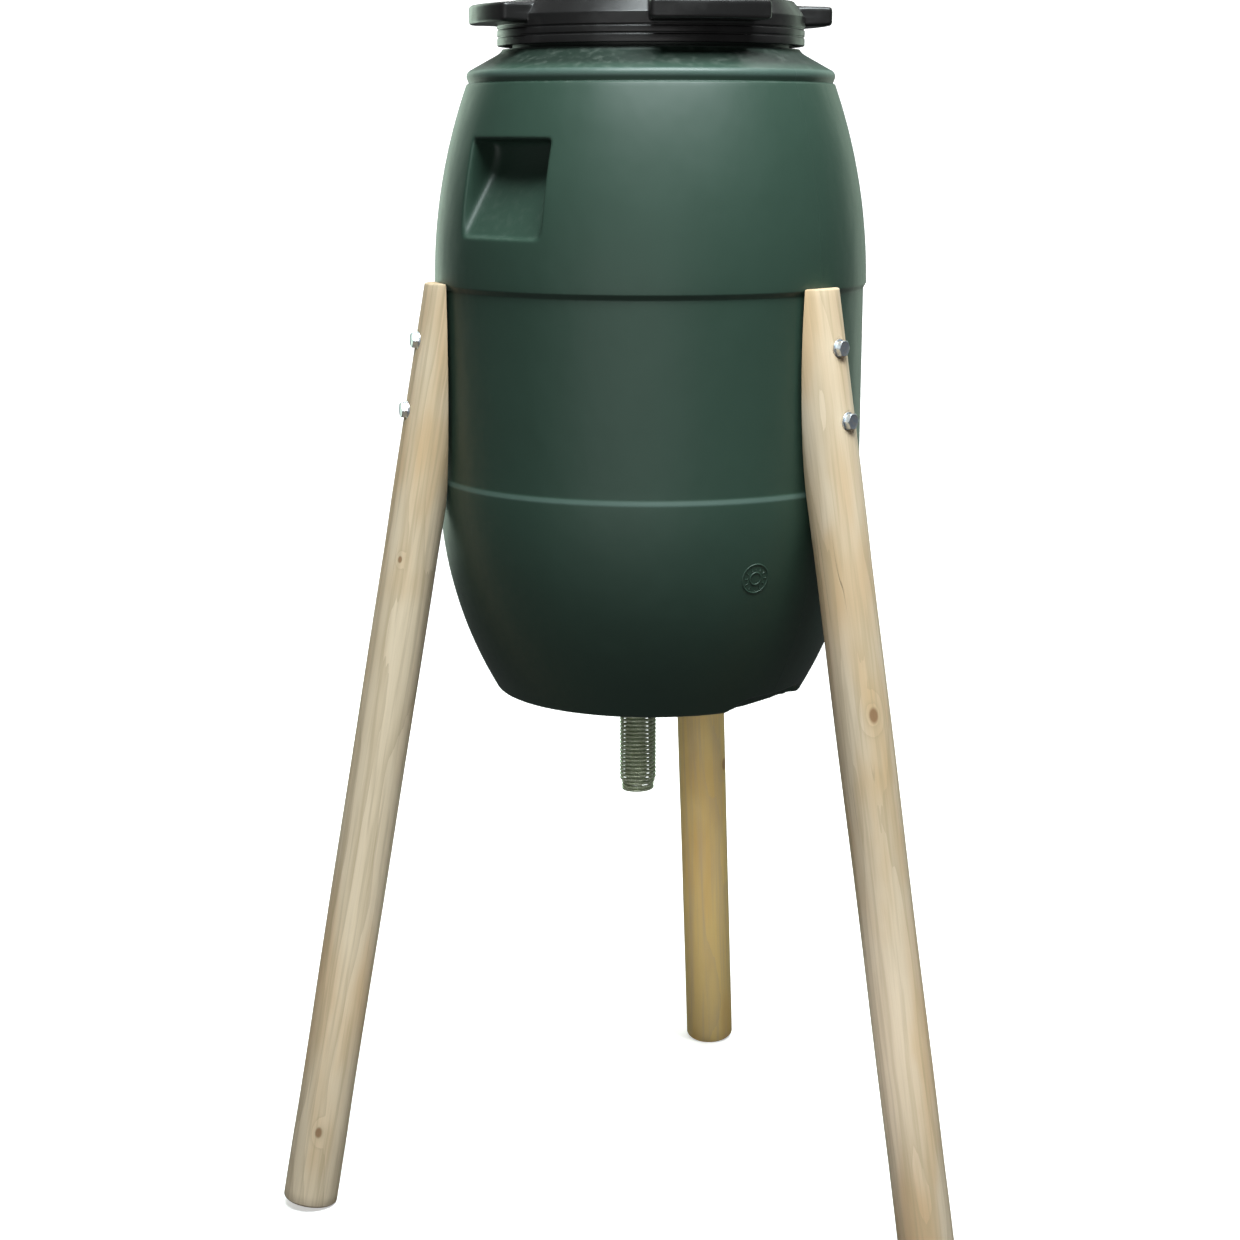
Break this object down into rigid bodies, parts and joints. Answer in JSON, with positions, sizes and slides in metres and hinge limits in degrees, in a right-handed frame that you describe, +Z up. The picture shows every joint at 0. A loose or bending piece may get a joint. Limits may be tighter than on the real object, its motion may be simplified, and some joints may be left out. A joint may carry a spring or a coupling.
{
  "type": "game bird feeder",
  "caption": "Free-standing grain feeder: a screw-top plastic barrel bolted to splayed round timber legs, with a coil spring hanging below that drops grain when pecked.",
  "frame": {"origin": "on the ground, under the middle of the whole feeder's box", "axes": "+Z up along the barrel's axis, -Y to the front between two legs, +Y to the back leg, +X to the right"},
  "size_m": [0.6408, 0.5658, 1.122],
  "materials": {
    "barrel_green": "satin blow-moulded polyethylene",
    "lid_black": "satin injection-moulded plastic",
    "seal_rubber": "matt sponge rubber",
    "leg_pine": "peeled, machine-rounded pine",
    "zinc_steel": "bright zinc plate",
    "bush_black": "moulded plastic",
    "pin_steel": "drawn steel rod",
    "spring_wire": "dull galvanised wire"
  },
  "bodies": {
    "feeder": {"barrel": "barrel_green", "leg_left": "leg_pine", "leg_right": "leg_pine", "leg_back": "leg_pine", "bolts_left": "zinc_steel", "outer_washers_left": "zinc_steel", "inner_washers_left": "zinc_steel", "nuts_left": "zinc_steel", "bolts_right": "zinc_steel", "outer_washers_right": "zinc_steel", "inner_washers_right": "zinc_steel", "nuts_right": "zinc_steel", "bolts_back": "zinc_steel", "outer_washers_back": "zinc_steel", "inner_washers_back": "zinc_steel", "nuts_back": "zinc_steel", "spring_bush": "bush_black", "bush_nut": "bush_black"},
    "inner_lid": {"inner_lid": "lid_black", "lid_seal": "seal_rubber"},
    "lid_ring": {"lid_ring": "lid_black"},
    "hanger_pin": {"hanger_pin": "pin_steel"},
    "feed_spring": {"feed_spring": "spring_wire"}
  },
  "joints": [
    {"name": "lid_rise", "type": "slide", "parent": "feeder", "child": "inner_lid", "axis": [0, 0, 1], "range_m": [0, 0.045]},
    {"name": "lid_turn", "type": "hinge", "parent": "inner_lid", "child": "lid_ring", "pos_m": [0, -0.08314, 1.1], "axis": [0, 0, 1], "range_deg": [0, 900]},
    {"name": "spring_swing", "type": "hinge", "parent": "feeder", "child": "hanger_pin", "pos_m": [-0.0105, -0.08514, 0.52], "axis": [1, 0, 0], "range_deg": [-8, 8]},
    {"name": "spring_tilt", "type": "hinge", "parent": "hanger_pin", "child": "feed_spring", "pos_m": [-0.0105, -0.08514, 0.52], "axis": [0, 1, 0], "range_deg": [-8, 8]}
  ],
  "couplings": [
    {"joint": "lid_turn", "follows": "lid_rise", "rad_per_m": 349.06}
  ]
}
